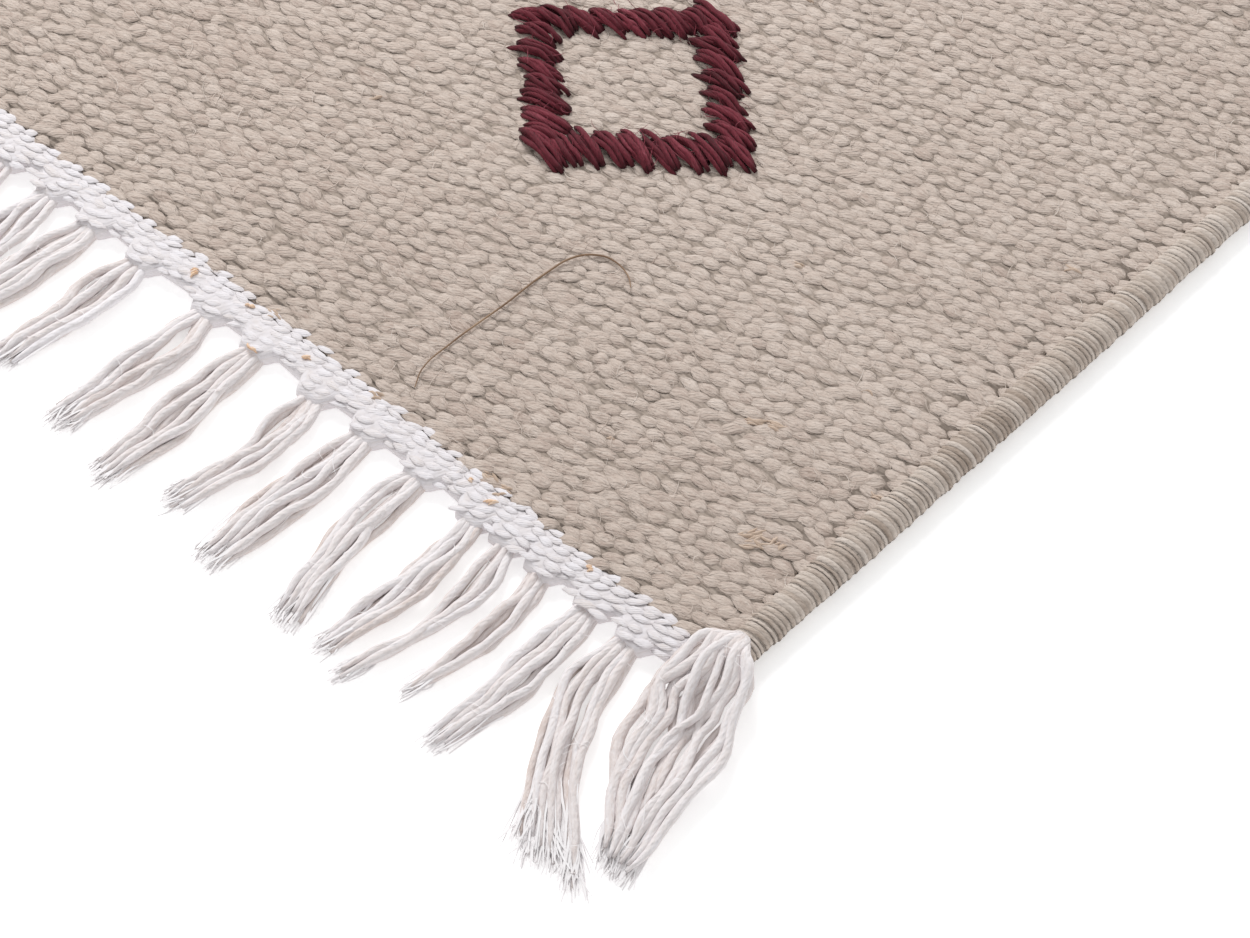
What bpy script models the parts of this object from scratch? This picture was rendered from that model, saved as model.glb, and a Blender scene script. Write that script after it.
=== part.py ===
"""Flat-woven dhurrie rug with stitched diamonds and a tassel fringe at each end.

Weft runs along X and warp along Y. The rug lies flat on the plane z = 0 with its centre on
the origin. Each piece that a maker weaves, wraps, stitches or knots is one closed solid.
"""

import math
import random

import bmesh
import bpy

MM = 0.001

# Driving dimensions, in metres.
RUG_WIDTH = 600 * MM  # selvedge to selvedge
RUG_LENGTH = 900 * MM  # from one end of the cloth to the other, without the tassels
FIELD_THICKNESS = 5.5 * MM
FIELD_SWELL = 0.25 * MM  # how far the woven top rises and sinks
SELVEDGE_WIDTH = 11 * MM
SELVEDGE_HEIGHT = 7.6 * MM
SELVEDGE_UNEVEN = 0.2 * MM
HEADING_LENGTH = 9 * MM  # white cotton rows at each end, the fringe's own strip included
HEADING_THICKNESS = 4.6 * MM
FRINGE_STRIP = 3.5 * MM  # the outermost white row, which holds the warp ends together
HEADING_INSET = 2 * MM  # how far the white rows stop short of the selvedge's outer side
GAP = 0.3 * MM  # between neighbouring pieces

# Stitched diamonds: half of each diagonal, outside and inside, and where they are.
DIAMOND_HALF_X = 48.5 * MM
DIAMOND_HALF_Y = 42 * MM
DIAMOND_HOLE_X = 30.5 * MM
DIAMOND_HOLE_Y = 27 * MM
DIAMOND_HEIGHT = 2.6 * MM
DIAMOND_RAGGED = 0.8 * MM
DIAMOND_COLUMN = 136 * MM  # from the centre line
DIAMOND_ROW = 305 * MM  # from the middle row to an end row
STATIONS_A_SIDE = 8

# Tassels.
TASSEL_ROOT_WIDTH = 8 * MM
TASSEL_THICKNESS = 4 * MM
TASSEL_TIP_THICKNESS = 2.4 * MM
CORNER_TASSEL_THICKNESS = 7.5 * MM
PAD_REACH = 3 * MM  # how far the strip bulges out at each tassel's root
PLAIN_SPACING = 19.6 * MM  # between tassels where the table below has ended
PLAIN_REACH = 57 * MM

# Tassels of the front end, from its right-hand corner leftwards, in millimetres: distance of
# the root from the side, sideways drift of the tip, bow of the middle, reach, width.
TASSEL_COLUMNS = ("root", "drift", "bow", "reach", "width")
TASSELS = (
    (12, 30, 1, 58, 19),
    (29, 30, -4, 64, 13),
    (44, 0, 2, 58, 10),
    (62, 2, 4, 53, 6),
    (75, -1, 5, 59, 7),
    (87, 1, 3, 58, 8),
    (107, 7, -2, 57, 10),
    (128, 0, 1, 57, 11),
    (148, -1, 3, 52, 8),
    (171, 1, 1, 58, 11),
    (191, -1, 2, 54, 11),
    (218, -2, 0, 51, 11),
    (238, -2, 0, 56, 10),
    (256, 0, 1, 55, 10),
    (275, -1, 1, 57, 9),
)

FIELD_WIDTH = RUG_WIDTH - 2 * (SELVEDGE_WIDTH + GAP)
FIELD_LENGTH = RUG_LENGTH - 2 * (HEADING_LENGTH + GAP)
HALF_WIDTH = RUG_WIDTH / 2
HALF_LENGTH = RUG_LENGTH / 2


def clear_scene():
    for obj in list(bpy.data.objects):
        bpy.data.objects.remove(obj, do_unlink=True)


def linear(hex_colour):
    """Turn an sRGB hex value into the linear colour that a shader takes."""
    colour = []
    for start in (0, 2, 4):
        value = int(hex_colour[start : start + 2], 16) / 255
        colour.append(value / 12.92 if value <= 0.04045 else ((value + 0.055) / 1.055) ** 2.4)
    return (*colour, 1.0)


def make_material(name, hex_colour, roughness):
    material = bpy.data.materials.new(name)
    material.use_nodes = True
    shader = material.node_tree.nodes["Principled BSDF"]
    shader.inputs["Base Color"].default_value = linear(hex_colour)
    shader.inputs["Roughness"].default_value = roughness
    shader.inputs["Metallic"].default_value = 0.0
    return material


def add_object(name, bm, material, parent, location=(0, 0, 0), turn=0.0):
    """Put the finished mesh in the scene as one named object on the rug's empty."""
    bmesh.ops.recalc_face_normals(bm, faces=bm.faces)
    mesh = bpy.data.meshes.new(name)
    bm.to_mesh(mesh)
    bm.free()
    mesh.materials.append(material)
    obj = bpy.data.objects.new(name, mesh)
    obj.location = location
    obj.rotation_euler.z = turn
    obj.parent = parent
    bpy.context.scene.collection.objects.link(obj)
    return obj


def close_down_to_ground(bm):
    """Give an open top surface vertical sides and one flat underside at z = 0."""
    rim = [edge for edge in bm.edges if edge.is_boundary]
    walls = bmesh.ops.extrude_edge_only(bm, edges=rim)["geom"]
    for vert in (item for item in walls if isinstance(item, bmesh.types.BMVert)):
        vert.co.z = 0.0
    bottom = [edge for edge in bm.edges if edge.is_boundary]
    bmesh.ops.contextual_create(bm, geom=bottom)


def strip(bm, left, right):
    """Join two equally long rows of vertices with quads."""
    for i in range(len(left) - 1):
        bm.faces.new((left[i], left[i + 1], right[i + 1], right[i]))


# The woven field: one sheet, as even as a loom leaves it.


def swell(x, y):
    """Height of the soft rise and fall of the cloth, between -1 and 1."""
    wide = math.sin(9.0 * x + 3.0 * math.sin(5.0 * y))
    long = math.sin(13.0 * y + 2.0 * math.sin(11.0 * x) + 0.7)
    return 0.5 * (wide + long)


def build_field(material, parent):
    columns, rows = 18, 28
    bm = bmesh.new()
    grid = []
    for j in range(rows + 1):
        y = FIELD_LENGTH * (j / rows - 0.5)
        row = []
        for i in range(columns + 1):
            x = FIELD_WIDTH * (i / columns - 0.5)
            z = FIELD_THICKNESS + FIELD_SWELL * swell(x, y)
            row.append(bm.verts.new((x, y, z)))
        grid.append(row)
    for lower, upper in zip(grid, grid[1:]):
        strip(bm, lower, upper)
    close_down_to_ground(bm)
    return add_object("field", bm, material, parent)


# The selvedges: side warps wrapped round with the field's yarn into a firm cord.


def build_selvedge(name, side, material, parent):
    stations, facets = 36, 14
    bm = bmesh.new()
    rings = []
    for j in range(stations + 1):
        along = j / stations
        y = FIELD_LENGTH * (along - 0.5)
        fat = math.sin(31.0 * y) + math.sin(57.0 * y + side)
        half_height = SELVEDGE_HEIGHT / 2 + SELVEDGE_UNEVEN * 0.5 * fat
        ring = []
        for i in range(facets):
            angle = 2 * math.pi * i / facets
            x = SELVEDGE_WIDTH / 2 * math.cos(angle)
            z = half_height * (0.97 + math.sin(angle))
            ring.append(bm.verts.new((x, y, max(z, 0.0))))
        rings.append(ring)
    for first, second in zip(rings, rings[1:]):
        strip(bm, first + first[:1], second + second[:1])
    bm.faces.new(rings[0])
    bm.faces.new(rings[-1])
    centre = side * (HALF_WIDTH - SELVEDGE_WIDTH / 2)
    obj = add_object(name, bm, material, parent, location=(centre, 0, 0))
    obj.data.shade_smooth()
    obj.data.set_sharp_from_angle(angle=math.radians(50))
    return obj


# The headings: white cotton rows that lock the wool at each end.


def build_heading(name, end, material, parent):
    columns = 40
    inner = HALF_LENGTH - HEADING_LENGTH
    outer = HALF_LENGTH - FRINGE_STRIP - GAP
    half = HALF_WIDTH - HEADING_INSET
    bm = bmesh.new()
    rows = []
    for y, sink in ((inner, 0.6), (0.5 * (inner + outer), 0.0), (outer, 0.8)):
        row = []
        for i in range(columns + 1):
            x = half * (2 * i / columns - 1)
            z = HEADING_THICKNESS - sink * MM + FIELD_SWELL * swell(x, end * y)
            row.append(bm.verts.new((x, end * y, z)))
        rows.append(row)
    for first, second in zip(rows, rows[1:]):
        strip(bm, first, second)
    close_down_to_ground(bm)
    return add_object(name, bm, material, parent)


# The fringes: warp ends gathered into tassels, one comb along each end.


def tassel_rows():
    """Every tassel of one end, from the right-hand corner to the left, in metres."""
    rows = []
    for values in TASSELS:
        rows.append(dict(zip(TASSEL_COLUMNS, (value * MM for value in values))))
    rng = random.Random(4)
    root = rows[-1]["root"] + PLAIN_SPACING
    while root < RUG_WIDTH - PLAIN_SPACING:
        rows.append(
            {
                "root": root + rng.uniform(-1.5, 1.5) * MM,
                "drift": rng.uniform(-3, 3) * MM,
                "bow": rng.uniform(-2, 3) * MM,
                "reach": PLAIN_REACH + rng.uniform(-4, 4) * MM,
                "width": rng.uniform(8, 11) * MM,
            }
        )
        root += PLAIN_SPACING
    rows[-1]["drift"] = -6 * MM
    rows[-1]["width"] = 14 * MM
    return rows


def tassel_sections(row, thickness):
    """Centre, reach, half width and height at each section from the root to the tip."""
    sections = []
    for along in (0.1, 0.3, 0.55, 0.8, 1.0):
        middle = math.sin(math.pi * along)
        half = (TASSEL_ROOT_WIDTH + (row["width"] - TASSEL_ROOT_WIDTH) * middle) / 2
        sections.append(
            {
                "x": row["drift"] * along**1.6 + row["bow"] * middle,
                "y": row["reach"] * along,
                "half": half * (1.0 if along < 1 else 0.7),
                "z": thickness + (TASSEL_TIP_THICKNESS - thickness) * along,
            }
        )
    return sections


def build_fringe(name, turn, material, parent):
    bm = bmesh.new()
    strip_inner = -HALF_LENGTH + FRINGE_STRIP
    end = HALF_WIDTH - HEADING_INSET
    inner_row, outer_row = [], []

    def column(x, bulge):
        inner_row.append(bm.verts.new((x, strip_inner, HEADING_THICKNESS)))
        outer_row.append(bm.verts.new((x, -HALF_LENGTH - bulge, TASSEL_THICKNESS)))

    column(end, 0)
    teeth = []
    for number, row in enumerate(tassel_rows()):
        centre = HALF_WIDTH - row["root"]
        half = TASSEL_ROOT_WIDTH / 2
        if number:
            column((outer_row[-1].co.x + centre + half) / 2, 0)
        column(centre + half, PAD_REACH)
        column(centre - half, PAD_REACH)
        teeth.append((centre, row, outer_row[-2], outer_row[-1]))
    column(-end, 0)
    strip(bm, inner_row, outer_row)
    for number, (centre, row, right, left) in enumerate(teeth):
        corner = number in (0, len(teeth) - 1)
        thickness = CORNER_TASSEL_THICKNESS if corner else TASSEL_THICKNESS
        for section in tassel_sections(row, thickness):
            x = centre + section["x"]
            y = -HALF_LENGTH - section["y"]
            next_right = bm.verts.new((x + section["half"], y, section["z"]))
            next_left = bm.verts.new((x - section["half"], y, section["z"]))
            bm.faces.new((right, next_right, next_left, left))
            right, left = next_right, next_left
    close_down_to_ground(bm)
    return add_object(name, bm, material, parent, turn=turn)


# The diamonds: thick yarn stitched over the weave, standing proud of it.


def diamond_point(half_x, half_y, along):
    """Point on a diamond outline. along runs from 0 to 4, one unit a side."""
    corners = ((half_x, 0), (0, half_y), (-half_x, 0), (0, -half_y))
    side = int(along) % 4
    part = along - int(along)
    start, stop = corners[side], corners[(side + 1) % 4]
    return tuple(a + (b - a) * part for a, b in zip(start, stop))


def build_diamond(name, centre, material, parent):
    low = FIELD_THICKNESS + FIELD_SWELL + GAP
    # Across the stitched band: 0 is its outer edge and 1 its inner edge, with the height there.
    section = ((0.0, 0.0), (0.0, 0.35), (0.2, 1.0), (0.8, 1.0), (1.0, 0.35), (1.0, 0.0))
    bm = bmesh.new()
    rings = []
    for station in range(4 * STATIONS_A_SIDE):
        along = station / STATIONS_A_SIDE
        ragged = DIAMOND_RAGGED * (1 if station % 2 else -1)
        ring = []
        for inwards, rise in section:
            half_x = DIAMOND_HALF_X + (DIAMOND_HOLE_X - DIAMOND_HALF_X) * inwards
            half_y = DIAMOND_HALF_Y + (DIAMOND_HOLE_Y - DIAMOND_HALF_Y) * inwards
            x, y = diamond_point(half_x + ragged, half_y + ragged, along)
            ring.append(bm.verts.new((x, y, low + rise * DIAMOND_HEIGHT)))
        rings.append(ring)
    for first, second in zip(rings, rings[1:] + rings[:1]):
        strip(bm, first + first[:1], second + second[:1])
    return add_object(name, bm, material, parent, location=(*centre, 0))


def main():
    clear_scene()
    rug = bpy.data.objects.new("rug", None)
    bpy.context.scene.collection.objects.link(rug)

    wool = make_material("natural_wool", "c9bbad", 0.9)
    wrapped = make_material("wrapped_wool", "bfae9c", 0.9)
    cotton = make_material("white_cotton", "e8e3e6", 0.85)
    cord = make_material("cotton_cord", "eae4e4", 0.85)
    burgundy = make_material("burgundy_yarn", "762d3c", 0.8)

    build_field(wool, rug)
    build_selvedge("selvedge_right", 1, wrapped, rug)
    build_selvedge("selvedge_left", -1, wrapped, rug)
    build_heading("heading_front", -1, cotton, rug)
    build_heading("heading_back", 1, cotton, rug)
    build_fringe("fringe_front", 0.0, cord, rug)
    build_fringe("fringe_back", math.pi, cord, rug)
    for row, y in enumerate((-DIAMOND_ROW, 0.0, DIAMOND_ROW), start=1):
        for side, x in (("left", -DIAMOND_COLUMN), ("right", DIAMOND_COLUMN)):
            build_diamond(f"diamond_{row}_{side}", (x, y), burgundy, rug)


main()
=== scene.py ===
# %% [markdown]
# # A flat-woven dhurrie rug
#
# A dhurrie is a rug with no pile. Thick wool is passed over and under cotton warps and beaten down so
# hard that the warps disappear, and what shows is row upon row of small oval beads of yarn. The warps
# come out at both ends as tassels. This lesson makes every part of that as real shapes: beads, wraps,
# cords and stitches are meshes made from arrays, and nodes add only what is finer than they are.

# %% Load the fixed frame
import math

import bpy
import numpy as np
from mathutils import Matrix, Vector


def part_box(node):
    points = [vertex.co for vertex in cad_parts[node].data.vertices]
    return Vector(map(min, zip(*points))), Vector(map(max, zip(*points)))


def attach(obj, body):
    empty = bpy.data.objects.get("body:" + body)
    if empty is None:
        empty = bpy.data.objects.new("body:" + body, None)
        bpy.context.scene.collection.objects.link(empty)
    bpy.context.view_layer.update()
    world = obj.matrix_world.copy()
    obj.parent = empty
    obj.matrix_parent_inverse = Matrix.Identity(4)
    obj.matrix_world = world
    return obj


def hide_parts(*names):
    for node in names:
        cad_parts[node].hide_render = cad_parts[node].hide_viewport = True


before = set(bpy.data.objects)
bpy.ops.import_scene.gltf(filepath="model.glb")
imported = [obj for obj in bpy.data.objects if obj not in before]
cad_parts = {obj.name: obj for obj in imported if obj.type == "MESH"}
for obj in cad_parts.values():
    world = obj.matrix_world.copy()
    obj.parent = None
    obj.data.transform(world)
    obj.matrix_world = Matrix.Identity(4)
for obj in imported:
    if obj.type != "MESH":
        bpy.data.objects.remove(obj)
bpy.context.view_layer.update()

MM = 0.001
print("frame holds", sorted(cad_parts))

# %% [markdown]
# ## Places and sizes
#
# Every place comes from the frame's boxes. The weave has two sizes of its own: the warps are 5 mm
# apart, so each bead of weft passes over one warp and is 10 mm from the next bead in its row, and the
# beads are 4.3 mm high, packed like bricks at half that height.

# %% Read the boxes and name the driving sizes
FIELD_LOW, FIELD_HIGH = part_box("field")
_, CORD_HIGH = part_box("selvedge_right")
DIAMOND_NODES = sorted(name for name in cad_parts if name.startswith("diamond"))

WARP_PITCH = 5 * MM
BEAD_HEIGHT = 4.3 * MM
RUG_SIDE = CORD_HIGH.x  # half of the rug's width
RUG_END = RUG_SIDE * 1.5  # half of its length without tassels
FIELD_TOP = 5.5 * MM
GROUND = 4.82 * MM  # the level between the beads
CORNER = Vector((RUG_SIDE, -RUG_END, 0.0))
CLOSE_REACH = 392 * MM  # how far from the front right corner the finest beads go
print("half width", RUG_SIDE, "half length", RUG_END, "field", FIELD_LOW, FIELD_HIGH)

# %% [markdown]
# ## Small tools
#
# Colours are written as sRGB hex, which is how people name them, and turned to linear once. One
# function adds any node with its settings and links. Another makes an object from arrays and stores
# numbers on its points, so that a material knows where on its yarn each point lies.

# %% Colour, nodes and meshes
def linear(hex_colour):
    """sRGB hex to the linear colour that a shader takes."""
    parts = [int(hex_colour[i : i + 2], 16) / 255 for i in (0, 2, 4)]
    return [p / 12.92 if p <= 0.04045 else ((p + 0.055) / 1.055) ** 2.4 for p in parts] + [1.0]


def add_node(tree, kind, sockets=None, stops=None, **settings):
    """Add one node: settings are its properties, sockets its values or the outputs that feed it."""
    node = tree.nodes.new(kind)
    for name, value in settings.items():
        setattr(node, name, value)
    for name, value in (sockets or {}).items():
        if isinstance(value, bpy.types.NodeSocket):
            tree.links.new(value, node.inputs[name])
        else:
            node.inputs[name].default_value = value
    if stops:
        ramp = node.color_ramp.elements
        while len(ramp) < len(stops):
            ramp.new(1.0)
        for element, (place, hex_colour) in zip(ramp, stops):
            element.position = place
            element.color = linear(hex_colour)
    return node


def make_object(name, points, faces, material, values=None, smooth=True):
    """One object from arrays. values holds a number or a vector for each point, by name."""
    mesh = bpy.data.meshes.new(name)
    mesh.from_pydata(np.asarray(points).reshape(-1, 3).tolist(), [], faces)
    for key, numbers in (values or {}).items():
        numbers = np.asarray(numbers, np.float32)
        vector = numbers.reshape(len(mesh.vertices), -1).shape[1] == 3
        layer = mesh.attributes.new(key, "FLOAT_VECTOR" if vector else "FLOAT", "POINT")
        layer.data.foreach_set("vector" if vector else "value", numbers.ravel())
    mesh.materials.append(material)
    if smooth:
        mesh.shade_smooth()
    mesh.update()
    obj = bpy.data.objects.new(name, mesh)
    bpy.context.scene.collection.objects.link(obj)
    print(f"{name}: {len(mesh.vertices)} points, {sum(len(f) - 2 for f in faces)} triangles")
    return obj


def settle(obj, slot, *nodes):
    """Let the piece move with the rug and hide the solids it stands for. slot is not used."""
    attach(obj, "root")
    if nodes:
        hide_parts(*nodes)
    return obj

# %% [markdown]
# ## Camera
#
# The rug is seen from above its front right corner, turned so that the corner points down. A long
# lens keeps the rows of weft nearly parallel. The camera is set by what it looks at, and from where.

# %% Aim the camera
LOOK_AT = CORNER + Vector((-70.1, 40.6, 0.0)) * MM
CAMERA_AZIMUTH = math.radians(40.33)
CAMERA_ELEVATION = math.radians(51.64)
CAMERA_ROLL = math.radians(3.0)
CAMERA_DISTANCE = 952 * MM
LENS = 100.8  # millimetres, on a sensor 36 mm wide

back = Vector(
    (
        math.sin(CAMERA_AZIMUTH) * math.cos(CAMERA_ELEVATION),
        -math.cos(CAMERA_AZIMUTH) * math.cos(CAMERA_ELEVATION),
        math.sin(CAMERA_ELEVATION),
    )
)
right = Vector((math.cos(CAMERA_AZIMUTH), math.sin(CAMERA_AZIMUTH), 0.0))
turn = Matrix.Rotation(CAMERA_ROLL, 3, back)
right = turn @ right
up = back.cross(right)
camera_data = bpy.data.cameras.new("camera")
camera_data.lens = LENS
camera_data.sensor_width = 36
camera_data.clip_start = 0.01
camera = bpy.data.objects.new("camera", camera_data)
place = Matrix((right, up, back)).transposed().to_4x4()
place.translation = LOOK_AT + back * CAMERA_DISTANCE
camera.matrix_world = place
bpy.context.scene.collection.objects.link(camera)
bpy.context.scene.camera = camera
print("camera at", [round(v, 4) for v in place.translation])

# %% [markdown]
# ## Light and floor
#
# Product studios light pale textiles from nearly all round, so the floor goes almost white and the
# cloth keeps only soft shadows. One broad lamp behind and to the left of the rug is a little stronger
# than the rest, and it rakes over the beads so that each has a light side and a dark end. The paper
# glows a little by itself, as a backdrop does when it has lamps of its own.

# %% Light the studio
WORLD_STRENGTH = 0.66
KEY_POWER = 22
KEY_SIZE = 0.9
KEY_PLACE = Vector((-1.25, 0.75, 1.15))  # metres from what the camera looks at
FLOOR_RADIUS = 6.0
FLOOR_SIDES = 64
FLOOR_DROP = 0.2 * MM  # keeps the paper just clear of the cloth
FLOOR_GLOW = 0.36

scene = bpy.context.scene
world = bpy.data.worlds.new("studio")
world.use_nodes = True
world.node_tree.nodes["Background"].inputs["Color"].default_value = (1.0, 1.0, 1.0, 1.0)
world.node_tree.nodes["Background"].inputs["Strength"].default_value = WORLD_STRENGTH
scene.world = world
scene.view_settings.view_transform = "Standard"

lamp_data = bpy.data.lights.new("key", "AREA")
lamp_data.shape = "DISK"
lamp_data.size = KEY_SIZE
lamp_data.energy = KEY_POWER
lamp = bpy.data.objects.new("key", lamp_data)
lamp.location = LOOK_AT + KEY_PLACE
lamp.rotation_euler = (LOOK_AT - lamp.location).to_track_quat("-Z", "Y").to_euler()
scene.collection.objects.link(lamp)

floor_mesh = bpy.data.meshes.new("floor")
rim = [2 * math.pi * i / FLOOR_SIDES for i in range(FLOOR_SIDES)]
floor_mesh.from_pydata(
    [(FLOOR_RADIUS * math.cos(a), FLOOR_RADIUS * math.sin(a), -FLOOR_DROP) for a in rim],
    [],
    [list(range(FLOOR_SIDES))],
)
floor = bpy.data.objects.new("floor", floor_mesh)
scene.collection.objects.link(floor)

# %% Paint the floor as seamless paper
paper = bpy.data.materials.new("seamless_paper")
paper.use_nodes = True
tree = paper.node_tree
shader = tree.nodes["Principled BSDF"]
grain = add_node(tree, "ShaderNodeTexNoise", {"Scale": 900.0, "Detail": 3.0})
tone = add_node(
    tree, "ShaderNodeValToRGB", {"Fac": grain.outputs["Fac"]}, stops=[(0.3, "f9f9f9"), (0.7, "fdfdfd")]
)
tree.links.new(tone.outputs["Color"], shader.inputs["Base Color"])
shader.inputs["Roughness"].default_value = 0.95
shader.inputs["Specular IOR Level"].default_value = 0.1
shader.inputs["Emission Color"].default_value = (1.0, 1.0, 1.0, 1.0)
shader.inputs["Emission Strength"].default_value = FLOOR_GLOW
floor_mesh.materials.append(paper)

# %% [markdown]
# ## Yarn finishes
#
# All the finishes here are spun fibre, so they share one recipe. Each point of a mesh stores where it
# lies on its yarn, along it and round it. Streaks that run along the yarn are its fibres, and slanted
# bands are its plies. The tone that each bead, wrap or cord carries picks its colour from a ramp,
# because handspun wool is never one colour. Where yarn dives under its neighbour or faces the floor,
# a darker shadow colour is mixed in: that is painted shade. Wool and cotton are dull: roughness is 0.8
# to 0.95, with the index of refraction of hair and cellulose, about 1.55.

# %% One recipe for spun yarn
def spun_yarn(name, stops, painted_shade_hex, ply, depths, roughness, sheen, fleck=None):
    """ply is the width of one ply, and depths are how far lumps, plies and fibres stand up, in metres."""
    lump_depth, ply_depth, fibre_depth = depths
    material = bpy.data.materials.new(name)
    material.use_nodes = True
    tree = material.node_tree
    shader = tree.nodes["Principled BSDF"]
    tone = add_node(tree, "ShaderNodeAttribute", attribute_name="tone")
    painted_shade = add_node(tree, "ShaderNodeAttribute", attribute_name="painted_shade")
    yarn = add_node(tree, "ShaderNodeAttribute", attribute_name="yarn")

    # Fibres: long thin streaks, about 0.5 mm wide and 4 mm long, laid slightly across the yarn.
    lay = add_node(
        tree,
        "ShaderNodeMapping",
        {"Vector": yarn.outputs["Vector"], "Rotation": (0.0, 0.0, 0.35), "Scale": (330.0, 1400.0, 40.0)},
    )
    fibres = add_node(
        tree, "ShaderNodeTexNoise", {"Vector": lay.outputs["Vector"], "Scale": 1.0, "Detail": 3.0}
    )
    # Plies: slanted bands round the yarn.
    slant = add_node(
        tree,
        "ShaderNodeMapping",
        {"Vector": yarn.outputs["Vector"], "Rotation": (0.0, 0.0, 0.45), "Scale": (1.0, 1.0, 0.05)},
    )
    plies = add_node(
        tree,
        "ShaderNodeTexWave",
        {
            "Vector": slant.outputs["Vector"],
            "Scale": 0.314 / ply,
            "Distortion": 2.5,
            "Detail": 2.0,
            "Detail Scale": 1.2,
        },
        bands_direction="Y",
    )
    # Lumps: carded fibre is never even, so the yarn swells and dents about every millimetre.
    stretched = add_node(
        tree,
        "ShaderNodeMapping",
        {"Vector": yarn.outputs["Vector"], "Scale": (420.0, 760.0, 40.0)},
    )
    lumps = add_node(
        tree,
        "ShaderNodeTexNoise",
        {"Vector": stretched.outputs["Vector"], "Scale": 1.0, "Detail": 2.0, "Roughness": 0.6},
    )
    # Colour: the tone of this yarn, made uneven by its fibres and by dye or dust in soft patches.
    patches = add_node(tree, "ShaderNodeTexNoise", {"Scale": 90.0, "Detail": 5.0, "Roughness": 0.7})
    streaked = add_node(
        tree,
        "ShaderNodeMath",
        {0: fibres.outputs["Fac"], 1: 1.1, 2: tone.outputs["Fac"]},
        operation="MULTIPLY_ADD",
    )
    patched = add_node(
        tree,
        "ShaderNodeMath",
        {0: patches.outputs["Fac"], 1: 0.7, 2: streaked.outputs[0]},
        operation="MULTIPLY_ADD",
    )
    centred = add_node(tree, "ShaderNodeMath", {0: patched.outputs[0], 1: 0.9}, operation="SUBTRACT")
    ramp = add_node(tree, "ShaderNodeValToRGB", {"Fac": centred.outputs[0]}, stops=stops)
    colour = ramp.outputs["Color"]
    if fleck:
        specks = add_node(tree, "ShaderNodeTexNoise", {"Scale": 480.0, "Detail": 2.0})
        chosen = add_node(
            tree,
            "ShaderNodeMapRange",
            {"Value": specks.outputs["Fac"], "From Min": 0.60, "From Max": 0.74, "To Max": 0.6},
        )
        mixed = add_node(
            tree,
            "ShaderNodeMix",
            {"Factor": chosen.outputs["Result"], 6: colour, 7: linear(fleck)},
            data_type="RGBA",
        )
        colour = mixed.outputs[2]
    # Painted shade: a darker shadow colour is mixed in by how much each point lies in a crevice or faces
    # down.
    shaded = add_node(
        tree,
        "ShaderNodeMix",
        {"Factor": painted_shade.outputs["Fac"], 6: colour, 7: linear(painted_shade_hex)},
        data_type="RGBA",
    )
    tree.links.new(shaded.outputs[2], shader.inputs["Base Color"])

    # Relief: plies first, fibres on top of them.
    dented = add_node(
        tree,
        "ShaderNodeBump",
        {"Height": lumps.outputs["Fac"], "Distance": lump_depth, "Strength": 1.0},
    )
    raised = add_node(
        tree,
        "ShaderNodeBump",
        {
            "Height": plies.outputs["Fac"],
            "Distance": ply_depth,
            "Strength": 1.0,
            "Normal": dented.outputs["Normal"],
        },
    )
    hairy = add_node(
        tree,
        "ShaderNodeBump",
        {
            "Height": fibres.outputs["Fac"],
            "Distance": fibre_depth,
            "Strength": 1.0,
            "Normal": raised.outputs["Normal"],
        },
    )
    tree.links.new(hairy.outputs["Normal"], shader.inputs["Normal"])
    rough = add_node(
        tree,
        "ShaderNodeMapRange",
        {"Value": fibres.outputs["Fac"], "To Min": roughness - 0.06, "To Max": roughness + 0.06},
    )
    tree.links.new(rough.outputs["Result"], shader.inputs["Roughness"])
    shader.inputs["IOR"].default_value = 1.55
    shader.inputs["Specular IOR Level"].default_value = 0.25
    shader.inputs["Sheen Weight"].default_value = sheen
    shader.inputs["Sheen Roughness"].default_value = 0.6
    return material

# %% Wool, cotton and dyed yarn
# The second colour of each finish is its painted shade: the shadow colour mixed in where yarn dives under its
# neighbour or faces down.
WOOL_WEFT = spun_yarn(
    "undyed_wool_handspun",
    [(0.0, "aa968a"), (0.25, "bba99e"), (0.5, "cabbb0"), (0.75, "d4c6bc"), (1.0, "ddd2c9")],
    "a39488",
    ply=1.2 * MM,
    depths=(0.80 * MM, 0.06 * MM, 0.09 * MM),
    roughness=0.92,
    sheen=0.06,
    fleck="86766a",
)
WOOL_WRAP = spun_yarn(
    "undyed_wool_wrapped",
    [(0.0, "a69689"), (0.3, "bcada1"), (0.6, "cec1b6"), (1.0, "dacfc6")],
    "66574b",
    ply=0.8 * MM,
    depths=(0.65 * MM, 0.06 * MM, 0.22 * MM),
    roughness=0.92,
    sheen=0.08,
    fleck="8a6d52",
)
COTTON_WEFT = spun_yarn(
    "bleached_cotton_weft",
    [(0.0, "e0d6d2"), (0.45, "e9e4e6"), (0.7, "ece8ec"), (1.0, "f1eef1")],
    "d6cecf",
    ply=0.8 * MM,
    depths=(0.30 * MM, 0.05 * MM, 0.08 * MM),
    roughness=0.85,
    sheen=0.08,
)
COTTON_CORD = spun_yarn(
    "soft_cotton_cord",
    [(0.0, "d9cbc5"), (0.35, "e6dddb"), (0.65, "ece6e6"), (1.0, "f1edf0")],
    "9f9391",
    ply=1.3 * MM,
    depths=(0.50 * MM, 0.05 * MM, 0.09 * MM),
    roughness=0.85,
    sheen=0.08,
)
COTTON_PLY = spun_yarn(
    "untwisted_cotton_ply",
    [(0.0, "eee6e3"), (0.35, "f3eeee"), (0.65, "f6f3f4"), (1.0, "faf8f9")],
    "e9e0df",
    ply=0.5 * MM,
    depths=(0.01 * MM, 0.01 * MM, 0.01 * MM),
    roughness=0.85,
    sheen=0.08,
)
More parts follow.
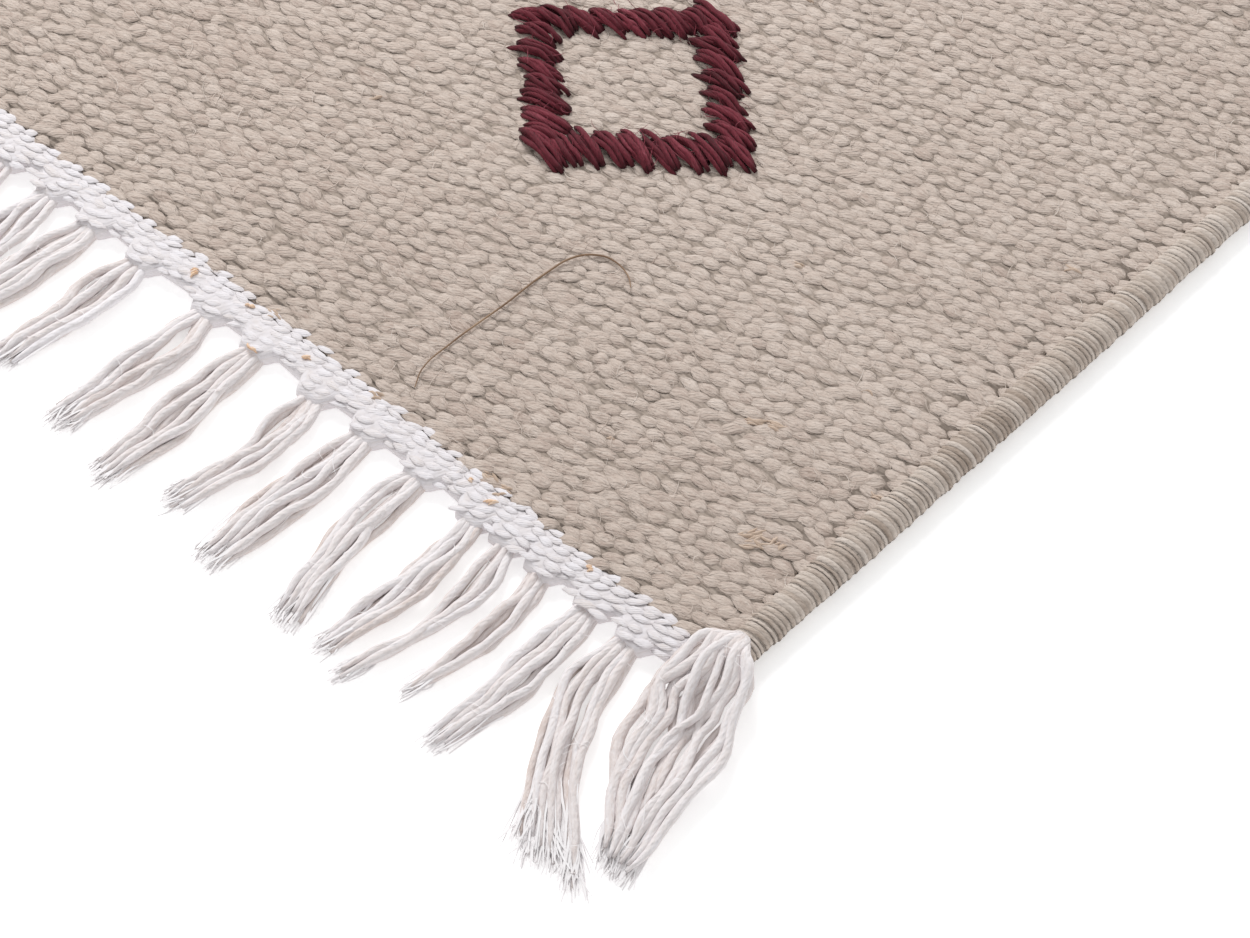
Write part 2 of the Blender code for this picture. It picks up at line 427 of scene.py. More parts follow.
BURGUNDY = spun_yarn(
    "burgundy_dyed_wool",
    [(0.0, "48121b"), (0.4, "68232f"), (0.7, "7b2e3b"), (1.0, "914a56")],
    "2a080d",
    ply=0.7 * MM,
    depths=(0.45 * MM, 0.10 * MM, 0.12 * MM),
    roughness=0.85,
    sheen=0.03,
)
print("finishes:", [m.name for m in bpy.data.materials])

# %% [markdown]
# ## The cloth under the beads
#
# Between the beads the eye falls on packed wool in shadow. A thin closed sheet with a flat underside
# is that ground, coloured in the wool's shadow tones as painted shade: it has the cloth's outline and
# its soft rise and fall. Everything woven sits on it.

# %% Make the ground sheet
def swell(x, y):
    """The soft rise and fall of a cloth that has been rolled and laid out, between -1 and 1."""
    wide = np.sin(9.0 * x + 3.0 * np.sin(5.0 * y))
    long = np.sin(13.0 * y + 2.0 * np.sin(11.0 * x) + 0.7)
    return 0.5 * (wide + long)


SWELL = 0.25 * MM


def ground_material():
    """Packed wool seen in the gaps: the weave drawn as bump, in its shadow colour."""
    material = bpy.data.materials.new("packed_wool_painted_shade")
    material.use_nodes = True
    tree = material.node_tree
    shader = tree.nodes["Principled BSDF"]
    space = add_node(tree, "ShaderNodeTexCoord")
    grain = add_node(
        tree,
        "ShaderNodeTexNoise",
        {"Vector": space.outputs["Object"], "Scale": 700.0, "Detail": 4.0},
    )
    rows = add_node(
        tree,
        "ShaderNodeTexWave",
        {
            "Vector": space.outputs["Object"],
            "Scale": 0.314 / (BEAD_HEIGHT / 2),
            "Distortion": 3.0,
            "Detail": 2.0,
        },
        bands_direction="Y",
    )
    # Painted shade: this ramp is darker than the wool of the beads and stands for the gaps in shadow.
    colour = add_node(
        tree,
        "ShaderNodeValToRGB",
        {"Fac": grain.outputs["Fac"]},
        stops=[(0.3, "9a8c81"), (0.5, "ac9e93"), (0.75, "bcaea3")],
    )
    tree.links.new(colour.outputs["Color"], shader.inputs["Base Color"])
    ridges = add_node(tree, "ShaderNodeBump", {"Height": rows.outputs["Fac"], "Distance": 0.5 * MM})
    fuzz = add_node(
        tree,
        "ShaderNodeBump",
        {"Height": grain.outputs["Fac"], "Distance": 0.2 * MM, "Normal": ridges.outputs["Normal"]},
    )
    tree.links.new(fuzz.outputs["Normal"], shader.inputs["Normal"])
    shader.inputs["Roughness"].default_value = 0.95
    shader.inputs["Specular IOR Level"].default_value = 0.2
    return material


def slab(name, xs, ys, top, material):
    """A closed sheet on a grid: top gives the upper side's height and the underside is at z = 0."""
    x, y = np.meshgrid(xs, ys)
    z = top(x, y)
    upper = np.stack([x, y, z], axis=-1).reshape(-1, 3)
    lower = upper.copy()
    lower[:, 2] = 0.0
    columns, count = len(xs), len(upper)
    faces = []
    for j in range(len(ys) - 1):
        for i in range(columns - 1):
            a = j * columns + i
            quad = [a, a + 1, a + columns + 1, a + columns]
            faces.append(quad)
            faces.append([count + corner for corner in reversed(quad)])
    rim = list(range(columns))
    rim += [j * columns + columns - 1 for j in range(1, len(ys))]
    rim += [(len(ys) - 1) * columns + i for i in range(columns - 2, -1, -1)]
    rim += [j * columns for j in range(len(ys) - 2, 0, -1)]
    for a, b in zip(rim, rim[1:] + rim[:1]):
        faces.append([b, a, count + a, count + b])
    return make_object(name, np.concatenate([upper, lower]), faces, material)


ground = slab(
    "field_ground",
    np.linspace(FIELD_LOW.x, FIELD_HIGH.x, 36),
    np.linspace(FIELD_LOW.y, FIELD_HIGH.y, 54),
    lambda x, y: GROUND + SWELL * swell(x, y),
    ground_material(),
)
settle(ground, "natural_wool", "field")

# %% [markdown]
# ## Beads of weft
#
# Where the weft passes over a warp it makes a bead: an oval that swells in the middle and dives at
# both ends, turned 13 degrees by the twist of the yarn. One bead is a half shell of a few rings. A
# whole field of them is that shell repeated with numpy, each with its own length, girth, turn and
# tone. The rows run true to the loom, but yarn spun by hand swells and thins along its length, so
# girth and tone wander along each row.

# %% One bead, then many
TAPER = 0.72  # 0.5 would be an ellipse, and 1.0 comes to sharp points
SOFTNESS = 1.65  # 1.0 would be a round section; more of it slopes the sides like a soft mound


def bead_shell(rings, facets):
    """The points of one bead as (place along it, angle round it), with its faces."""
    places = [(-1.0, math.pi / 2)]
    for i in range(rings):
        along = math.sin(math.pi / 2 * (2 * (i + 1) / (rings + 1) - 1))
        places += [(along, math.pi * j / (facets - 1)) for j in range(facets)]
    places.append((1.0, math.pi / 2))
    last = len(places) - 1
    faces = []
    for j in range(facets - 1):
        faces.append([0, 1 + j, 2 + j])
        end = last - facets + j
        faces.append([end, last, end + 1])
        for i in range(rings - 1):
            a = 1 + i * facets + j
            faces.append([a, a + facets, a + facets + 1, a + 1])
    return np.array(places), faces


def make_beads(name, spots, size, shell, material):
    """spots is one row of numbers a bead; size holds half length, half width, height and rise."""
    half_length, half_width, height, rise = size
    places, faces = bead_shell(*shell)
    along, angle = places[:, 0][None], places[:, 1][None]
    column = {key: values[:, None] for key, values in spots.items()}
    # Plump in the middle, one end often fatter than the other, and dented here and there.
    girth = np.clip(1 - along**2, 0, 1) ** TAPER * (1 + column["skew"] * along) * column["fat"]
    girth = girth * (1 + 0.09 * np.sin(3 * angle + 40 * column["seed"] + 2.5 * along))
    girth = girth * (1 + 0.05 * np.sin(5 * along + 90 * column["seed"]))
    u = along * half_length * column["long"]
    v = np.cos(angle) * half_width * girth + column["bend"] * along**2
    mound = np.clip(np.sin(angle), 0, 1) ** SOFTNESS
    z = mound * height * girth + rise * (1 - along**2) + column["z"]
    turn_cos, turn_sin = np.cos(column["turn"]), np.sin(column["turn"])
    x = column["x"] + u * turn_cos - v * turn_sin
    y = column["y"] + u * turn_sin + v * turn_cos
    points = np.stack([x, y, z], axis=-1).reshape(-1, 3)
    step = len(places)
    pieces = []
    for number in range(len(spots["x"])):
        pieces += [[number * step + corner for corner in face] for face in faces]
    yarn = np.stack([x, angle * half_width * column["fat"] + 0 * x, column["seed"] + 0 * x], -1)
    # Painted shade: each bead is darker towards its ends, where it dives under its neighbours, and down its
    # sloping sides.
    side = 1 - np.sin(angle)
    painted_shade = np.clip(np.abs(along) ** 4 * 0.8 + side**3 * 0.3 + 0 * x, 0, 0.8)
    values = {"yarn": yarn.reshape(-1, 3), "tone": (column["tone"] + 0 * x).ravel(), "painted_shade": painted_shade.ravel()}
    return make_object(name, points, pieces, material, values)

# %% Lay out the rows of weft
WEFT_SIZE = (4.15 * MM, 2.2 * MM, 0.58 * MM, 0.30 * MM)
LEAN = math.radians(13)


def wander(rng, rows, x, lengths):
    """For each row its own slow curve along x, between about -1 and 1."""
    total = np.zeros_like(x)
    for length in lengths:
        start = rng.uniform(0, 2 * math.pi, rows.max() + 1)[rows]
        stretch = rng.uniform(0.7, 1.4, rows.max() + 1)[rows]
        total += np.sin(2 * math.pi * x / (length * stretch) + start)
    return total / len(lengths)


def lay_rows(seed, low, high, half_width, pitch, row_height, top, size):
    """Spots of all beads of a woven strip from low to high along the warp."""
    rng = np.random.default_rng(seed)
    spacing = row_height / 2
    count = int((high - low) / spacing)
    rows, x = [], []
    for row in range(count):
        shift = pitch * (row % 2)
        number = np.arange(-int(half_width / pitch / 2) - 1, int(half_width / pitch / 2) + 2)
        places = number * 2 * pitch + shift
        places = places[np.abs(places) < half_width]
        x.append(places)
        rows.append(np.full(len(places), row))
    x, rows = np.concatenate(x), np.concatenate(rows)
    y = low + (rows + 0.5) * spacing
    wave = 0.9 * MM * np.sin(2 * math.pi * (x / 0.21 + y / 0.5)) * np.sin(2 * math.pi * y / 0.33)
    wave += 0.35 * MM * np.sin(2 * math.pi * (x / 0.043 + np.sin(25 * y))) * np.sin(2 * math.pi * y / 0.057)
    girth = wander(rng, rows, x, (0.03, 0.11, 0.3))
    shade = wander(rng, rows, x, (0.05, 0.23, 0.9))
    spread = rng.normal(0, 1, (8, len(x)))
    slow = np.sin(21 * y + 1.0) * 0.03 + np.sin(55 * y + 6 * x) * 0.02
    return {
        "x": x + 0.6 * MM * spread[0],
        "y": y + wave + 0.10 * row_height * spread[1],
        "z": top - size[2] - size[3] + SWELL * swell(x, y) + 0.12 * size[2] * spread[2],
        "turn": LEAN + 0.17 * spread[3],
        "long": 1 + 0.12 * spread[4],
        "fat": 1 + 0.12 * girth + 0.10 * spread[5],
        "skew": 0.14 * spread[6],
        "bend": 0.14 * size[1] * spread[7],
        "tone": 0.5 + slow + 0.06 * shade + 0.05 * rng.normal(0, 1, len(x)),
        "seed": rows * 0.37 + rng.uniform(0, 0.2, len(x)),
    }


def some(spots, chosen):
    return {key: values[chosen] for key, values in spots.items()}


weft = lay_rows(
    1,
    FIELD_LOW.y,
    FIELD_HIGH.y,
    FIELD_HIGH.x + 1.5 * MM,
    WARP_PITCH,
    BEAD_HEIGHT,
    FIELD_TOP,
    WEFT_SIZE,
)
close = (CORNER.x - weft["x"]) + (weft["y"] - CORNER.y) < CLOSE_REACH
front = ~close & (weft["y"] < 0)
print("beads of weft:", len(close), "of which close to the corner:", int(close.sum()))

# %% Make the woven surface
weft_pieces = [
    make_beads("weft_corner", some(weft, close), WEFT_SIZE, (5, 6), WOOL_WEFT),
    make_beads("weft_front", some(weft, front), WEFT_SIZE, (2, 4), WOOL_WEFT),
    make_beads("weft_back", some(weft, ~close & ~front), WEFT_SIZE, (2, 3), WOOL_WEFT),
]
for piece in weft_pieces:
    settle(piece, "natural_wool", "field")

# %% [markdown]
# ## Selvedges
#
# The outermost warps are wrapped round and round with wool until they make a firm cord. Wraps lie
# side by side, about 1.7 mm apart. Four rings of points a wrap are enough to show each one as a ridge
# with a sharp groove beside it.

# %% Wrap the side cords
WRAP_PITCH = 1.7 * MM
WRAP_SLANT = 0.5 * MM  # how far a wrap travels along the cord on its way round half of it
WRAP_RINGS = 4


def make_selvedge(name, node, side, seed, facets):
    low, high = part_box(node)
    rng = np.random.default_rng(seed)
    wraps = int((high.y - low.y) / WRAP_PITCH)
    rings = wraps * WRAP_RINGS + 1
    part = np.arange(rings) % WRAP_RINGS / WRAP_RINGS
    wrap = np.minimum(np.arange(rings) // WRAP_RINGS, wraps - 1)
    ridge = np.abs(np.sin(math.pi * part)) ** 0.7
    proud = 1 + 0.4 * rng.normal(0, 1, wraps)[wrap]
    uneven = 0.17 * WRAP_PITCH * rng.normal(0, 1, wraps + 1)[np.arange(rings) // WRAP_RINGS]
    y = low.y + (high.y - low.y) * np.arange(rings) / (rings - 1)
    fat = 0.16 * MM * (np.sin(31 * y) + np.sin(57 * y + seed)) + 0.08 * MM * rng.normal(0, 1, wraps)[wrap]
    angle = 2 * math.pi * np.arange(facets) / facets
    half_x = (high.x - low.x) / 2 - 0.55 * MM
    half_z = (high.z - low.z) / 2 - 0.45 * MM
    swelling = (0.34 * MM * ridge * proud + fat)[:, None]
    centre = (low.x + high.x) / 2 - 0.3 * MM * side
    x = centre + np.cos(angle)[None] * (half_x + swelling) * side
    z = (high.z + low.z) / 2 + np.sin(angle)[None] * (half_z + swelling)
    tilt = (WRAP_SLANT + 0.25 * MM * rng.normal(0, 1, wraps)[wrap])[:, None]
    slant = tilt * np.cos(angle)[None] * 0.5
    ends = np.clip(np.minimum(y - low.y, high.y - y) / (6 * MM), 0, 1)[:, None]
    y_shown = y[:, None] + slant * ends + (uneven * ridge)[:, None] * ends
    points = np.stack([x + 0 * y[:, None], y_shown, np.maximum(z, 0.05 * MM)], -1)
    faces = []
    for i in range(rings - 1):
        for j in range(facets):
            a, b = i * facets + j, i * facets + (j + 1) % facets
            faces.append([a, b, b + facets, a + facets][:: side])
    faces.append(list(range(facets))[:: -side])
    faces.append([(rings - 1) * facets + j for j in range(facets)][:: side])
    round_cord = (angle * half_x)[None] + 0 * y[:, None]
    across = part[:, None] * WRAP_PITCH + 0 * round_cord
    seeds = (wrap * 0.21)[:, None] + 0 * round_cord
    shade = 0.5 + 0.16 * rng.normal(0, 1, wraps)[wrap] + 0.12 * np.sin(y * 40 + seed)
    # Painted shade: darker in the groove between two wraps and on the lower half of the cord.
    low_side_shade = np.clip(-np.sin(angle), 0, 1)[None] * 0.45
    painted_shade = np.clip((1 - ridge)[:, None] * 0.4 + low_side_shade, 0, 0.85)
    values = {
        "yarn": np.stack([round_cord, across, seeds], -1).reshape(-1, 3),
        "tone": (shade[:, None] + 0 * round_cord).ravel(),
        "painted_shade": (painted_shade + 0 * round_cord).ravel(),
    }
    return settle(make_object(name, points, faces, WOOL_WRAP, values), "wrapped_wool", node)


selvedges = [
    make_selvedge("wrapped_selvedge_right", "selvedge_right", 1, 5, 14),
    make_selvedge("wrapped_selvedge_left", "selvedge_left", -1, 6, 10),
]

# %% [markdown]
# ## Tassels: where they are
#
# A weaver takes four or five pairs of warp ends at a time, so tassels come about every 20 mm, but no
# two are alike. Those near the front right corner are listed; a seeded rule makes the rest, the
# same for both ends of the rug, as in the frame.

# %% List the tassels
TASSEL_COLUMNS = ("root", "drift", "bow", "reach", "width", "tip", "cords")
TASSELS = (
    (12, 30, 1, 58, 22, 12, 18),
    (29, 30, -4, 64, 14, 21, 11),
    (44, 0, 2, 58, 12, 9, 9),
    (62, 2, 4, 53, 7, 4, 5),
    (75, -1, 5, 59, 8, 6, 6),
    (87, 1, 3, 58, 10, 8, 8),
    (107, 7, -2, 57, 11, 10, 9),
    (128, 0, 1, 57, 13, 10, 9),
    (148, -1, 3, 52, 10, 9, 8),
    (171, 1, 1, 58, 13, 10, 9),
    (191, -1, 2, 54, 13, 11, 9),
    (218, -2, 0, 51, 12, 10, 8),
    (238, -2, 0, 56, 12, 10, 9),
    (256, 0, 1, 55, 11, 9, 8),
    (275, -1, 1, 57, 10, 9, 8),
)
PLAIN_SPACING = 19.6


def tassel_rows(seed):
    """Every tassel of one end as numbers in millimetres, from its right-hand corner leftwards."""
    rows = [dict(zip(TASSEL_COLUMNS, values)) for values in TASSELS]
    rng = np.random.default_rng(seed)
    root = rows[-1]["root"] + PLAIN_SPACING
    while root < 2 * RUG_SIDE / MM - PLAIN_SPACING:
        rows.append(
            {
                "root": root + rng.uniform(-1.5, 1.5),
                "drift": rng.uniform(-3, 3),
                "bow": rng.uniform(-2, 3),
                "reach": 57 + rng.uniform(-4, 4),
                "width": rng.uniform(9, 13),
                "tip": rng.uniform(6, 11),
                "cords": int(rng.integers(6, 9)),
            }
        )
        root += PLAIN_SPACING
    rows[-1].update(drift=-6, width=16, cords=10)
    return rows


print("tassels an end:", len(tassel_rows(4)))

# %% [markdown]
# ## Cords
#
# Cords, stitches and loose fibre are all tubes along a path. Because many have the same number of
# points, one function makes them all at once: it finds the direction at each point, sets a ring of
# points round it and closes both ends.

# %% A tube for every path at once
def make_tubes(name, paths, radius, sides, material, tone, seed, shaded_ends=0.0):
    """paths is tubes by points by xyz, radius is tubes by points, tone is one number a tube."""
    tubes, count = paths.shape[:2]
    ahead = np.gradient(paths, axis=1)
    ahead /= np.linalg.norm(ahead, axis=2, keepdims=True) + 1e-12
    across = np.cross(ahead, np.array([0.0, 0.0, 1.0]))
    across /= np.linalg.norm(across, axis=2, keepdims=True) + 1e-9
    upward = np.cross(across, ahead)
    # A tube of three sides is turned so that one flat face looks up.
    angle = 2 * math.pi * np.arange(sides) / sides + (math.pi / 6 if sides == 3 else 0.0)
    ring = (
        across[:, :, None] * np.cos(angle)[None, None, :, None]
        + upward[:, :, None] * np.sin(angle)[None, None, :, None]
    )
    body = paths[:, :, None] + ring * radius[:, :, None, None]
    tips = paths[:, [0, -1]][:, :, None]
    points = np.concatenate([body.reshape(tubes, -1, 3), tips.reshape(tubes, -1, 3)], 1)
    faces = []
    for i in range(count - 1):
        for j in range(sides):
            a, b = i * sides + j, i * sides + (j + 1) % sides
            faces.append([a, b, b + sides, a + sides])
    first, last = count * sides, count * sides + 1
    for j in range(sides):
        faces.append([first, (j + 1) % sides, j])
        faces.append([last, (count - 1) * sides + j, (count - 1) * sides + (j + 1) % sides])
    step = points.shape[1]
    pieces = []
    for number in range(tubes):
        pieces += [[number * step + corner for corner in face] for face in faces]
    travelled = np.linalg.norm(np.diff(paths, axis=1), axis=2).cumsum(1)
    travelled = np.concatenate([np.zeros((tubes, 1)), travelled], 1)
    along = np.repeat(travelled, sides, axis=1)
    around = np.tile(angle, count)[None] * np.repeat(radius, sides, axis=1)
    along = np.concatenate([along, travelled[:, [0, -1]]], 1)
    around = np.concatenate([around, np.zeros((tubes, 2))], 1)
    rng = np.random.default_rng(seed)
    seeds = rng.uniform(0, 50, (tubes, 1)) + 0 * along
    # Painted shade: every tube is darker on its underside, and, by the amount given for the ends, darker
    # towards both ends, where a stitch dives into the cloth; the end caps get a little of it.
    underside = np.clip(-np.sin(np.tile(angle, count)), 0, 1)[None] * 0.35 + 0 * along[:, :-2]
    sunk = shaded_ends * np.abs(np.repeat(np.linspace(-1, 1, count), sides))[None] ** 5
    underside = np.concatenate([np.clip(underside + sunk, 0, 0.9), np.zeros((tubes, 2)) + 0.2], 1)
    values = {
        "yarn": np.stack([along + seeds * 0.01, around, seeds], -1).reshape(-1, 3),
        "tone": (np.asarray(tone)[:, None] + 0 * along).ravel(),
        "painted_shade": underside.ravel(),
    }
    return make_object(name, points, pieces, material, values, smooth=sides > 3)

# %% [markdown]
# ## Headings
#
# The last rows are white cotton instead of wool. They are finer, so the beads are flatter, and at the
# outer edge the cloth is drawn out into a small pad at each tassel, with a round arch between two
# pads. The heading's body is a strip whose section is swept from side to side, and its outer edge
# follows the tassels. Rows of flat beads lie on it.

# %% Sweep the heading and lay its rows
NECK = 4.2 * MM  # how far the edge is drawn out at a tassel
NECK_HALF = 3.6 * MM
HEADING_TOP = 5.4 * MM
HEADING_HALF = RUG_SIDE - 10 * MM


def pads(x, rows):
    """How far the outer edge is drawn out at x: 1 at a tassel's root, 0 at the top of an arch."""
    best = np.zeros_like(x)
    for row in rows[1:]:
        off = np.abs(x - (RUG_SIDE - row["root"] * MM))
        rise = np.clip(1 - (off - NECK_HALF) / (3.2 * MM), 0, 1)
        best = np.maximum(best, rise * rise * (3 - 2 * rise))
    return best


def make_heading(name, nodes, turn, rows):
    """turn is 1 at the front and -1 at the back, where the rug is the same turned half round."""
    x = np.linspace(-HEADING_HALF - 6 * MM, HEADING_HALF + 4 * MM, 601)
    inner = -RUG_END + 9 * MM
    drawn = pads(x, rows)
    edge = -RUG_END + 0.4 * MM * np.sin(x * 200) - NECK * drawn
    section = (
        (inner, 0.0, 0.0),
        (inner, 0.0, 4.3),
        (inner, -0.8, 4.8),
        (-RUG_END, 3.5, 5.05),
        (edge, 2.2, 4.7),
        (edge, 1.0, 4.1),
        (edge, 0.3, 3.2),
        (edge, 0.0, 2.1),
        (edge, 0.2, 1.2),
        (edge, 0.9, 0.1),
        (edge, 2.0, 0.0),
    )
    lines = []
    for base, inwards, height in section:
        y = base + inwards * MM + 0 * x
        z = height * MM + 0 * x
        lines.append(np.stack([x * turn, y * turn, z], -1))
    points = np.stack(lines, 1)
    count = len(section)
    faces = []
    for i in range(len(x) - 1):
        for j in range(count):
            a, b = i * count + j, i * count + (j + 1) % count
            faces.append([a, a + count, b + count, b])
    faces.append(list(range(count)))
    faces.append([(len(x) - 1) * count + j for j in reversed(range(count))])
    around = np.arange(count)[None] * 1.3 * MM + 0 * x[:, None]
    # Painted shade round the section: darkest at the bottom of both edges and on the inner face against the
    # wool, lightest on the rounded outer edge.
    shade = np.array([0.6, 0.5, 0.3, 0.2, 0.1, 0.0, 0.0, 0.1, 0.2, 0.5, 0.8])
    values = {
        "yarn": np.stack([x[:, None] + 0 * around, around, 0 * around], -1).reshape(-1, 3),
        "tone": np.full(around.size, 0.5),
        "painted_shade": (shade[None] + 0 * around).ravel(),
    }
    return settle(make_object(name, points, faces, COTTON_WEFT, values), "white_cotton", *nodes)


FRONT_ROWS = tassel_rows(4)
heading_bodies = [
    make_heading("heading_body_front", ("heading_front",), 1, FRONT_ROWS),
    make_heading("heading_body_back", ("heading_back",), -1, FRONT_ROWS),
]

# %% Lay the white rows
COTTON_SIZE = (3.0 * MM, 1.25 * MM, 0.32 * MM, 0.12 * MM)
COTTON_ROW = 2.1 * MM


def make_white_rows(name, seed, turn, rows):
    spots = lay_rows(
        seed,
        -RUG_END - 0.5 * MM,
        -RUG_END + 10 * MM,
        HEADING_HALF - 1 * MM,
        WARP_PITCH,
        COTTON_ROW,
        HEADING_TOP,
        COTTON_SIZE,
    )
    outwards = np.clip((-RUG_END + 5 * MM - spots["y"]) / (5 * MM), 0, 1)
    spots["y"] = spots["y"] - outwards * 0.6 * NECK * pads(spots["x"], rows)
    spots["z"] = spots["z"] - 1.2 * MM * outwards**2 * (1 - 0.8 * pads(spots["x"], rows))
    spots["tone"] = 0.5 + 1.6 * (spots["tone"] - 0.5)
    spots["x"], spots["y"] = spots["x"] * turn, spots["y"] * turn
    shell = (4, 6) if turn > 0 else (3, 5)
    return settle(make_beads(name, spots, COTTON_SIZE, shell, COTTON_WEFT), "white_cotton")


white_rows = [
    make_white_rows("heading_rows_front", 11, 1, FRONT_ROWS),
    make_white_rows("heading_rows_back", 12, -1, FRONT_ROWS),
]

# %% [markdown]
# ## Tassels: their cords
#
# Each cord leaves its neck, drops to the floor within two centimetres and then wanders. The cords of
# a tassel lie spread across it in two layers, and near the tip each one comes untwisted into fine
# plies. The corner tassel gathers its cords on top of the cloth, arches over the end of the selvedge
# and falls to the floor, so its left and right edges are listed one by one.

# %% Lay the cords
CORD_RADIUS = 1.33 * MM
PLY_RADIUS = 0.40 * MM
CORNER_SECTIONS = np.array(  # left x, left y, right x, right y, height; millimetres from the corner
    (
        (-9.5, 16.5, -3.5, 17.0, 7.5),
        (-14.0, 10.5, 1.0, 11.5, 9.5),
        (-15.0, 3.0, 6.0, 5.0, 8.0),
        (-16.0, -6.5, 9.5, -4.5, 5.0),
        (-13.0, -14.0, 10.5, -13.0, 3.0),
        (-9.5, -26.0, 13.0, -26.0, 3.0),
        (-4.0, -37.0, 16.0, -36.0, 2.5),
        (3.0, -46.5, 18.0, -46.0, 2.0),
        (8.0, -53.0, 18.0, -54.0, 2.0),
    )
)


def ease(t):
    t = np.clip(t, 0, 1)
    return t * t * (3 - 2 * t)


def along_sections(sections, t):
    """Smooth values between the listed sections at t from 0 to 1: a Catmull-Rom curve."""
    padded = np.concatenate([2 * sections[:1] - sections[1:2], sections, 2 * sections[-1:] - sections[-2:-1]])
    place = np.clip(t, 0, 0.9999) * (len(sections) - 1)
    start = place.astype(int)
    f = (place - start)[:, None]
    p0, p1, p2, p3 = (padded[start + k] for k in range(4))
    return 0.5 * (
        2 * p1 + (p2 - p0) * f + (2 * p0 - 5 * p1 + 4 * p2 - p3) * f**2 + (3 * p1 - p0 - 3 * p2 + p3) * f**3
    )


def offsets(count, rng):
    """Where each cord lies across its tassel, from -1 to 1."""
    return np.linspace(-1, 1, count) + rng.normal(0, 0.07, count)


def waves(rng, count, t, sizes):
    """A slow sideways wandering for each cord: sizes holds (millimetres, turns along the cord)."""
    total = np.zeros((count, len(t)))
    for size, turns in sizes:
        phase = rng.uniform(0, 2 * math.pi, (count, 1))
        total += size * rng.uniform(0.6, 1.4, (count, 1)) * np.sin(2 * math.pi * turns * t[None] + phase)
    return total


def cord_paths(row, rng, samples, corner):
    """Paths of one tassel's cords from the corner of the rug, with its front edge towards -Y."""
    count = row["cords"]
    t = np.linspace(0, 1, samples)
    offset = offsets(count, rng)
    side = np.sign(offset + rng.uniform(-0.25, 0.25))
    free = np.sin(math.pi * np.clip(t * 1.08, 0, 1)) ** 0.7 * ease(t * 4)
    layer = (np.arange(count) % 2)[:, None]
    if corner:
        sections = along_sections(CORNER_SECTIONS, t)
        part = np.linspace(0, 1, count) + rng.normal(0, 0.03, count)
        part = part[:, None] + waves(rng, count, t, ((0.095, 1.1), (0.05, 2.4), (0.02, 5.0))) * free
        x = sections[:, 0] + (sections[:, 2] - sections[:, 0]) * part
        y = sections[:, 1] + (sections[:, 3] - sections[:, 1]) * part
        z = sections[:, 4] + (layer - 0.4) * 2.0 * ease(t * 3) + waves(rng, count, t, ((0.7, 1.6),)) * free
        early = (np.abs(part - 0.5) * 2) ** 2 * 3.0 * (1 - ease(t * 4))
        y = y - early + rng.normal(0, 1.2, (count, 1)) * ease(t * 1.5)
        z = np.maximum(z, 1.1)
        return np.stack([x, y, z], -1) * MM
    half = 2.4 + (row["width"] / 2 - 1.2 - 2.4) * ease(t / 0.35)
    half = half + (row["tip"] / 2 - row["width"] / 2) * ease((t - 0.55) / 0.45)
    centre = -row["root"] + row["drift"] * t**1.6 + row["bow"] * np.sin(math.pi * t)
    sway = waves(rng, 2, t, ((0.7, 0.9), (0.35, 2.0)))[(side > 0).astype(int)]
    gap = side[:, None] * layer * 0.9 * np.sin(math.pi * np.clip(t * 1.25, 0, 1))[None]
    loose = waves(rng, count, t, ((0.75, 1.2), (0.4, 2.6), (0.18, 5.5)))
    x = centre + offset[:, None] * half + (sway + gap + loose) * free
    reach = row["reach"] + rng.normal(0, 1.6, (count, 1))
    y = 3.0 - (reach + 3.0) * t[None]
    fall = ease((t - 0.04) / 0.26)[None]
    rest = 1.15 + 1.75 * layer * (0.35 + 0.65 * np.sin(math.pi * np.clip(t, 0, 1)) ** 0.5)
    z = (1.5 + 0.8 * layer) * (1 - fall) + rest * fall + 0.35 * waves(rng, count, t, ((0.8, 1.7),)) * free
    z = np.maximum(z, 1.15 * (1 - 0.45 * ease((t - 0.75) / 0.25)))
    return np.stack([x, y, z], -1) * MM


def fray(paths, rng, plies, samples, spread):
    """Fine plies that leave the last stretch of each cord and spread a little."""
    out = []
    for path in paths:
        first = path[int(len(path) * 0.72)]
        middle = path[int(len(path) * 0.86)]
        toward = path[-1] - first
        length = np.linalg.norm(toward)
        toward = toward / length
        side = np.array([toward[1], -toward[0], 0.0])
        for _ in range(plies):
            start = first if rng.random() < 0.5 else middle
            far = np.linalg.norm(path[-1] - start) + rng.uniform(-1.0, 4.5) * MM
            t = np.linspace(0, 1, samples)[:, None]
            out_by = rng.normal(0, spread) * t**1.4 + rng.normal(0, 0.5) * np.sin(math.pi * t)
            line = start + toward * far * t + side * (out_by + rng.normal(0, 0.45)) * MM
            last = rng.uniform(0.3, 2.2) * MM
            height = start[2] * (1 - t[:, 0]) + last * t[:, 0] + rng.normal(0, 0.3) * MM
            line[:, 2] = np.maximum(height, 0.25 * MM)
            out.append(line)
    return np.array(out)


